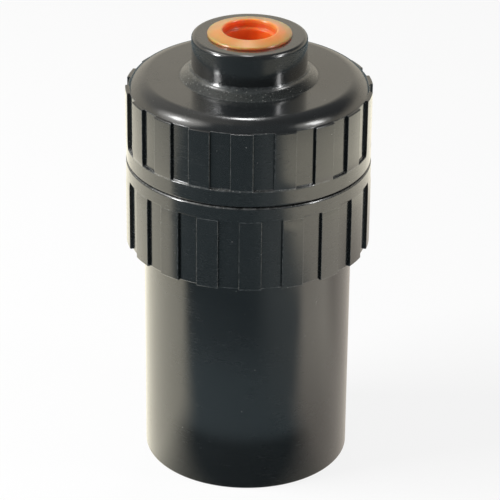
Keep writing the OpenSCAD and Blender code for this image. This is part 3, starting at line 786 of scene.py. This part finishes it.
collar_rows[outside & (collar_rows[:, 1] < collar_low + 0.25), 2] = FLECKED
collar_ribs = collar_rows.copy()
collar_ribs[wall, 0] = np.minimum(collar_rows[wall, 0] + RIB_H, COLLAR_RIB_R - step_in)
print("collar outlines of", len(collar_rows), "points")

# %% Collar piece
COLLAR_TURN = 1.2
GUIDE_IN_R, GUIDE_OUT_R, GUIDE_W, GUIDE_END = 20.3, 21.9, 2.4, 0.3
GUIDE_ANGLES = np.radians(45 + 90 * np.arange(4))


def guide_bars(low, high):
    """Four upright bars on the inside of a wall, between two heights."""
    return [bar(GUIDE_IN_R, GUIDE_OUT_R, low, high, GUIDE_W, a) for a in GUIDE_ANGLES]


make_piece(
    "collar_shell",
    [ribbed(collar_rows, collar_ribs, COLLAR_TURN)]
    + thread_lugs(THREAD_ROOT_R, COLLAR_CREST_R, COLLAR_THREAD_LOW, COLLAR_LUGS)
    + guide_bars(barrel_top, rim_top - GUIDE_END),
    collar_black, "case", ["body_collar"],
)

# %% [markdown]
# ## Barrel, inlet base and riser
#
# The barrel is a length of tube with guide bars inside, and the base closes it with the inlet boss.
# The pipe thread of the inlet is a triangular ridge carried along a helix. The riser is the tube
# that pops up, with a flange at its foot that the spring pushes on. Plain cylinders would have hard
# edges that catch no light, so these are outlines with small rounds, carried round the axis.

# %% Barrel piece
GUIDE_LOW = 6.0
barrel_rows = outline([
    (BARREL_IN_R, barrel_low, 0.3), (barrel_r, barrel_low, 0.45),
    (barrel_r, barrel_top, 0.3), (BARREL_IN_R, barrel_top, 0.3),
], 6)
make_piece(
    "barrel_tube",
    [turned(barrel_rows, 256)] + guide_bars(GUIDE_LOW, barrel_top - GUIDE_END),
    tube_black, "case", ["barrel"],
)

# %% Inlet base piece
INLET_R, INLET_DEPTH, INLET_CREST = 10.3, 15.0, 9.35
RIDGE_LOW, RIDGE_TOP, PIPE_PITCH = 1.6, 13.6, 1.814
BOSS_R, SEAT_R, RIM_IN_R, RIM_H, FLOOR_T = 12.7, 5.0, 18.65, 10.0, 4.0
WEB_COUNT, WEB_IN_R, WEB_OUT_R, WEB_LOW, WEB_W = 8, 12.4, 18.9, 3.4, 1.6
base_rows = outline([
    (INLET_R + 0.5, base_low, 0.15), (base_r, base_low, 0.3), (base_r, RIM_H, 0.3),
    (RIM_IN_R, RIM_H, 0.3), (RIM_IN_R, FLOOR_T, 0.6), (BOSS_R, FLOOR_T, 0.6),
    (BOSS_R, seat_top, 0.4), (SEAT_R, seat_top, 0.5), (SEAT_R, INLET_DEPTH, 0.2),
    (INLET_R, INLET_DEPTH, 0.2), (INLET_R, base_low + 0.6),
])


def thread_ridge(root_r, crest_r, z0, z1, pitch, per_turn=48, fade_angle=1.2):
    """A shell of a triangular ridge along a helix: height z0 + pitch a / (2 pi), faded at both ends."""
    turns = (z1 - z0) / pitch
    a = np.linspace(0, 2 * np.pi * turns, int(turns * per_turn))[:, None]
    fade = np.minimum(smooth(a / fade_angle), smooth((a[-1] - a) / fade_angle))
    deep = root_r + 0.3
    r = np.concatenate([deep + 0 * a, root_r - (root_r - crest_r) * fade, deep + 0 * a], 1)
    z = z0 + pitch * a / (2 * np.pi) + np.array([-0.45, 0.0, 0.45]) * pitch
    return np.stack([r * np.cos(a), r * np.sin(a), z], -1), False, 0.0


make_piece(
    "inlet_base_shell",
    [turned(base_rows, 160), thread_ridge(INLET_R, INLET_CREST, RIDGE_LOW, RIDGE_TOP, PIPE_PITCH)]
    + [bar(WEB_IN_R, WEB_OUT_R, WEB_LOW, RIM_H, WEB_W, a, 0.15) for a in even_turn(WEB_COUNT)],
    inner_black, "case", ["inlet_base"],
)

# %% Riser piece
RISER_R, RISER_IN_R, FOOT_T = 8.5, 6.9, 2.5
riser_rows = outline([
    (RISER_IN_R, riser_low, 0.2), (foot_r, riser_low, 0.3), (foot_r, riser_low + FOOT_T, 0.3),
    (RISER_R, riser_low + FOOT_T, 0.02), (RISER_R, riser_top, 0.25), (RISER_IN_R, riser_top, 0.2),
], 4)
make_piece(
    "riser_tube", [turned(riser_rows, 144)], tube_black, "stem", ["riser"]
)

# %% [markdown]
# ## Nozzle
#
# The orange nozzle has two halves. The upper one is the flange that rests on the neck. Its top rises
# like a low cone to a round recess, which steps in below its mouth. Under it hang a pivot and half a
# ring, the shutter. The lower half is pressed into the riser and has the other half ring. Turning
# one against the other opens more or less of the spray slot. Both are turned shapes, and a half ring
# is an outline carried through half a turn.

# %% Upper half of the nozzle
MOUTH_R, WELL_R, CUP_R, PIVOT_R = 6.15, 5.4, 8.4, 3.0
HEAD_HOLE_R, SCREW_HOLE_R, HEAD_DEPTH = 2.15, 1.5, 2.4
MOUTH_DEPTH, WELL_DEPTH, DEFLECTOR_T, SPRAY_SLOT = 2.0, 6.4, 1.0, 1.1
FLANGE_T, CROWN_R = 0.6, 6.65
SHUTTER_T, SHUTTER_GAP, SHUTTER_ROOT = 1.0, 0.15, 0.4
well_floor = nozzle_top - WELL_DEPTH
deflector = well_floor - DEFLECTOR_T
spray_floor = deflector - SPRAY_SLOT
screw_seat = well_floor - HEAD_DEPTH
arc_rows = outline([
    (SCREW_HOLE_R, pivot_low, 0.1), (PIVOT_R, pivot_low, 0.2), (PIVOT_R, deflector, 0.2),
    (CUP_R, deflector, 0.15), (CUP_R, neck_top, 0.1), (flange_r, neck_top, 0.12),
    (flange_r, neck_top + FLANGE_T, 0.28), (CROWN_R, nozzle_top, 1.4), (MOUTH_R, nozzle_top, 0.33),
    (MOUTH_R, nozzle_top - MOUTH_DEPTH, 0.2), (WELL_R, nozzle_top - MOUTH_DEPTH, 0.25),
    (WELL_R, well_floor, 0.4), (HEAD_HOLE_R, well_floor, 0.1), (HEAD_HOLE_R, screw_seat),
    (SCREW_HOLE_R, screw_seat),
], 0.9)
# The recess rows get the mark 2, where shade is painted into the orange
recess = (arc_rows[:, 0] < MOUTH_R + 0.01) & (arc_rows[:, 1] < nozzle_top - 0.5)
arc_rows[recess, 2] = DUST_AND_SHADE


def half_ring(r0, r1, z0, z1):
    """A shell of a rounded rectangle of the half plane, carried through half a turn."""
    rows = outline([(r0, z0, 0.1), (r1, z0, 0.1), (r1, z1, 0.1), (r0, z1, 0.1)])
    return revolve(rows, np.radians(np.linspace(0, 180, 49))), False, rows[None, :, 2]


shutter_low, shutter_top = spray_floor + SHUTTER_GAP, deflector + SHUTTER_ROOT
shutter = half_ring(CUP_R - SHUTTER_T, CUP_R - 0.02, shutter_low, shutter_top)
make_piece(
    "nozzle_top", [turned(arc_rows, 160), shutter], orange, "arc", ["arc_collar"]
)

# %% Lower half of the nozzle
SPIGOT_R, SPIGOT_IN_R, BASE_FLANGE_T = 6.85, 5.75, 1.1
HUB_IN_R, HUB_R = 3.05, 4.25
WALL_IN_R, WALL_OUT_R, WALL_ROOT = 6.3, 7.3, 0.4
SPOKE_COUNT, SPOKE_IN_R, SPOKE_OUT_R, SPOKE_W, SPOKE_INSET = 4, 3.9, 6.1, 1.2, 0.05
base_flange = spray_floor - BASE_FLANGE_T
lower_rows = outline([
    (SPIGOT_IN_R, spigot_low, 0.15), (SPIGOT_R, spigot_low, 0.3), (SPIGOT_R, base_flange, 0.02),
    (CUP_R, base_flange, 0.12), (CUP_R, spray_floor, 0.15), (SPIGOT_IN_R, spray_floor, 0.15),
], 0.9)
hub_rows = outline([
    (HUB_IN_R, pivot_low, 0.1), (HUB_R, pivot_low, 0.15),
    (HUB_R, spray_floor, 0.15), (HUB_IN_R, spray_floor, 0.1),
])
spoke_low, spoke_top = pivot_low + SPOKE_INSET, spray_floor - SPOKE_INSET
spokes = [
    bar(SPOKE_IN_R, SPOKE_OUT_R, spoke_low, spoke_top, SPOKE_W, angle, 0.1)
    for angle in even_turn(SPOKE_COUNT)
]
make_piece(
    "nozzle_foot",
    [turned(lower_rows, 128), turned(hub_rows, 64)]
    + [half_ring(WALL_IN_R, WALL_OUT_R, spray_floor - WALL_ROOT, wall_top)]
    + spokes,
    orange, "stem", ["nozzle_base"],
)

# %% [markdown]
# ## Spring
#
# The retraction spring is round wire carried along a helix. A Screw modifier would give an even
# coil, but real springs have closed, ground ends: the pitch drops to one wire at both ends, and the
# end faces are cut flat. When the riser pops up the real spring is pressed together towards the
# washer under the cap. This coil is built at rest; the squeeze is worked out, but not applied.

# %% Spring piece
WIRE, TURNS, SPRING_R = 1.2, 7.0, 11.3
# Turns closed at each end, turns over which they open, and wires from a cut face to the wire's middle
CLOSED_TURNS, OPENING_TURNS, GROUND = 0.6, 0.5, 0.4


def coil_spring(steps=48, sides=14):
    """A shell of wire along a helix of varying pitch: its height is the running sum of the pitch."""
    t = np.linspace(0, TURNS, int(TURNS * steps) + 1)
    opened = smooth((np.minimum(t, TURNS - t) - CLOSED_TURNS) / OPENING_TURNS)
    room = spring_top - spring_low - 2 * GROUND * WIRE
    coil = np.full(len(t) - 1, WIRE) / steps
    free = (opened[1:] + opened[:-1]) / 2
    rise = coil + free * (room - coil.sum()) / free.sum()
    z = spring_low + GROUND * WIRE + np.concatenate([[0], np.cumsum(rise)])
    a = 2 * np.pi * t
    radial = np.stack([np.cos(a), np.sin(a), 0 * a], -1)
    along = np.gradient(np.stack([SPRING_R * np.cos(a), SPRING_R * np.sin(a), z], -1), axis=0)
    along /= np.linalg.norm(along, axis=1)[:, None]
    upright = np.cross(radial, along)
    turn = even_turn(sides)[None, :, None]
    ring = WIRE / 2 * (np.cos(turn) * radial[:, None] + np.sin(turn) * upright[:, None])
    points = SPRING_R * radial[:, None] + ring + np.array([0, 0, 1]) * z[:, None, None]
    points[..., 2] = np.clip(points[..., 2], spring_low, spring_top)
    return points, False, 0.0


spring = make_piece(
    "spring_coil", [coil_spring()], steel, "lift", ["retraction_spring"]
)
pop_up = next(j for j in frame["joints"] if j["name"] == "riser_pop")
travel = pop_up["range_m"][1] / MM
spring_seat = spring_top + 0.05
1 - travel / (spring_seat - spring_low + 0.05)
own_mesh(spring)

# %% [markdown]
# ## Carried-over pieces
#
# The seals, the guide ring, the ratchet, the filter, the throttle, the washer and the screw have
# the right shape already, so they stay as CAD nodes and get their finishes here.

# %% Finishes of the carried-over nodes
node_finish = {
    rubber: ["cap_gasket", "wiper_seal", "check_seal", "nozzle_seal"],
    steel: ["spring_washer", "radius_screw"],
    natural: ["guide_ring", "check_holder", "filter_screen", "throttle_plug"],
    grey: ["seal_retainer", "ratchet_plate"],
}
for material, names in node_finish.items():
    for name in names:
        mesh = frame["nodes"][name].data
        mesh.materials.clear()
        mesh.materials.append(material)
print("carried-over nodes:", sum(map(len, node_finish.values())))

# %% [markdown]
# ## Studio
#
# The photograph was taken on white, with soft light from both sides and a dark room behind the
# camera. Glossy black shows mostly what it mirrors, so the studio matters as much as the finish.
# Real cards and walls round the object would do it, but they would show in other views. Here the
# camera sees a plain white floor, and only mirror rays see a painted one: white at the sides and
# behind, with a dark card in front of the object, a painted shadow round its foot, and a dark room
# further out.

# %% Floor
FLOOR_HALF, FLOOR_DROP = 3.0, 0.05
floor_mesh = bpy.data.meshes.new("floor")
floor_corners = FLOOR_HALF * np.array([(-1, -1, 0), (1, -1, 0), (1, 1, 0), (-1, 1, 0)])
floor_mesh.from_pydata(floor_corners.tolist(), [], [(0, 1, 2, 3)])
floor = bpy.data.objects.new("floor", floor_mesh)
floor.location.z = -FLOOR_DROP * MM
bpy.context.scene.collection.objects.link(floor)
print("floor of", 2 * FLOOR_HALF, "metres")

# %% Floor paint
WHITE = (1, 1, 1, 1)
FLOOR_GREY = (0.9, 0.9, 0.9, 1)
CARD_FOOT_SHADOW, CARD_NEAR = (0.045, 0.060, 0.066, 1), (0.19, 0.25, 0.275, 1)
CARD_MIDDLE, CARD_FAR = (0.085, 0.115, 0.13, 1), (0.12, 0.16, 0.175, 1)
CARD_RIGHT = (0.24, 0.28, 0.29, 1)
LEFT_FLOOR, RIGHT_FLOOR = (1.25, 1.19, 0.99, 1), (0.58, 0.53, 0.47, 1)
RIGHT_FRONT, RIGHT_FAR = (1.05, 0.98, 0.86, 1), (1.4, 1.33, 1.1, 1)
ROOM = (0.12, 0.15, 0.16, 1)
# How much of what the camera sees of the floor is plain white; the rest shows the shadow
WHITE_SHARE = 0.86


def studio_wires(tree, coordinates):
    """An emptied tree's first wire, its coordinates x, y and z, and the rays that look.

    The rays are 1 for a ray from the camera, off a glossy surface, and through glass.
    """
    tree.nodes.clear()
    start = Wire(tree)
    place = start.node("ShaderNodeTexCoord", output=coordinates)
    split = start.node("ShaderNodeSeparateXYZ", sockets={0: place}).socket.node
    path = start.node("ShaderNodeLightPath").socket.node
    axes = [Wire(tree, split.outputs[axis]) for axis in "XYZ"]
    kinds = ["Is Camera Ray", "Is Glossy Ray", "Is Transmission Ray"]
    return start, axes, [Wire(tree, path.outputs[kind]) for kind in kinds]


floor_white = bpy.data.materials.new("floor_white")
floor_white.use_nodes = True
start, axes, (direct, glossy, through) = studio_wires(floor_white.node_tree, "Object")
x, y = (axis / MM for axis in axes[:2])
ahead = 0 - y - 0.33 * abs(x) - 0.09 * x
reach = x.math("SQRT", x * x + y * y)
card = (ahead + 9 * reach.ease(60, 40)).ease(10, 34) * x.ease(-235, -185) * x.ease(125, 85)
# Close round the foot the mirrored floor is darker: a painted shadow, seen only in reflections
shade = reach.ease(44, 50).mix(CARD_FOOT_SHADOW, CARD_NEAR)
shade = reach.ease(70, 105).mix(shade, CARD_MIDDLE)
shade = reach.ease(115, 150).mix(shade, CARD_FAR)
shade = (x * reach.ease(45, 60)).ease(5, 60).mix(shade, CARD_RIGHT)
right_side = (reach.ease(30, 105) * y.ease(25, -15)).mix(RIGHT_FLOOR, RIGHT_FRONT)
right_side = reach.ease(120, 210).mix(right_side, RIGHT_FAR)
white = x.ease(-10, 25).mix(LEFT_FLOOR, right_side)
mirrored = reach.ease(234, 242).mix(card.mix(white, shade), ROOM)
seen = glossy.mix(WHITE, mirrored)
lit = start.node("ShaderNodeBsdfDiffuse", sockets={"Color": FLOOR_GREY})
bright = start.node("ShaderNodeEmission", sockets={"Color": seen, "Strength": 1.0})
share = direct * WHITE_SHARE + glossy + through
surface = start.node("ShaderNodeMixShader", sockets={0: share, 1: lit, 2: bright})
start.node("ShaderNodeOutputMaterial", sockets={"Surface": surface})
floor_mesh.materials.append(floor_white)
print("floor paint with", len(floor_white.node_tree.nodes), "nodes")

# %% [markdown]
# ### World
#
# The world lights the object evenly and weakly, and the camera sees it white. A picture of a studio
# would give it reflections, but this lesson uses no pictures. So mirror rays see a simple one: a
# dim room in front, a warm wall behind, a darker ceiling, and the glow of a lamp on either side.

# %% World
AMBIENT = 0.18
FRONT_ROOM, BACK_WALL = (0.12, 0.13, 0.135, 1), (0.70, 0.65, 0.55, 1)
CEILING, CEILING_LEFT = (0.10, 0.10, 0.10, 1), (0.40, 0.38, 0.35, 1)
LEFT_GLOW, RIGHT_GLOW = (2.2, 2.15, 2.05, 1), (1.4, 1.38, 1.3, 1)
TO_LEFT_GLOW, TO_RIGHT_GLOW = (-0.715, -0.075, 0.695), (0.725, -0.21, 0.656)


def glow(axes, direction, low, high):
    """A round glow: the cosine of the angle to a direction, eased from low to high, then squared."""
    x, y, z = (axis * part for axis, part in zip(axes, direction))
    near = (x + y + z).ease(low, high)
    return near * near


world = bpy.data.worlds.new("studio")
bpy.context.scene.world = world
world.use_nodes = True
start, axes, (direct, glossy, through) = studio_wires(world.node_tree, "Generated")
x, y, z = axes
high = x.ease(0.1, -0.35).mix(CEILING, CEILING_LEFT)
back = z.ease(0.30, 0.64).mix(BACK_WALL, high)
sky = y.ease(-0.3, 0.05).mix(FRONT_ROOM, back)
sky = glow(axes, TO_LEFT_GLOW, 0.88, 0.99).mix(sky, LEFT_GLOW)
mirrored = glow(axes, TO_RIGHT_GLOW, 0.94, 0.99).mix(sky, RIGHT_GLOW)
seen = glossy.mix(WHITE, mirrored)
ambient = start.node("ShaderNodeBackground", sockets={"Color": WHITE, "Strength": AMBIENT})
backdrop = start.node("ShaderNodeBackground", sockets={"Color": seen, "Strength": 1.0})
share = direct + glossy + through
surface = start.node("ShaderNodeMixShader", sockets={0: share, 1: ambient, 2: backdrop})
start.node("ShaderNodeOutputWorld", sockets={"Surface": surface})
print("world paint with", len(world.node_tree.nodes), "nodes")

# %% [markdown]
# ### Lamps
#
# A large lamp on the left lights the object, with weaker ones on the right and behind. One lamp can't
# give both the soft light and the sharp highlights of the photograph. So the large lamp isn't
# mirrored, and a small lamp and two strips are seen only in mirrors, where they draw the highlights.

# %% Lamps
LAMP_DISTANCE = 0.6
LAMP_AIM = 80 * MM


def softbox(name, azimuth, elevation, width, height, radiance, lights=True, mirrors=True):
    """A rectangular lamp that faces the object; its power is pi times its area times the radiance.

    It lights surfaces and shows in mirrors, unless told not to.
    """
    lamp = bpy.data.lights.new(name, "AREA")
    lamp.shape = "RECTANGLE"
    lamp.size, lamp.size_y = width, height
    lamp.energy = math.pi * width * height * radiance
    box = bpy.data.objects.new(name, lamp)
    a, e = math.radians(azimuth), math.radians(elevation)
    away = np.array([math.sin(a) * math.cos(e), -math.cos(a) * math.cos(e), math.sin(e)])
    box.location = away * LAMP_DISTANCE + np.array([0, 0, LAMP_AIM])
    box.rotation_euler = (math.pi / 2 - e, 0, a)
    box.visible_diffuse = lights
    box.visible_glossy = mirrors
    bpy.context.scene.collection.objects.link(box)
    print(name, "gives", round(lamp.energy, 2), "W")


softbox("key_lamp", -80, 45, 0.30, 0.26, 17, mirrors=False)
softbox("left_lamp", -84, 44, 0.126, 0.126, 8.5, lights=False)
softbox("right_lamp", 74, 41, 0.105, 0.137, 8)
softbox("left_strip", -65, 10, 0.09, 0.24, 40, lights=False)
softbox("right_strip", 60.5, 11, 0.07, 0.32, 14, lights=False)
softbox("back_lamp", 182, 58, 0.045, 0.13, 13)
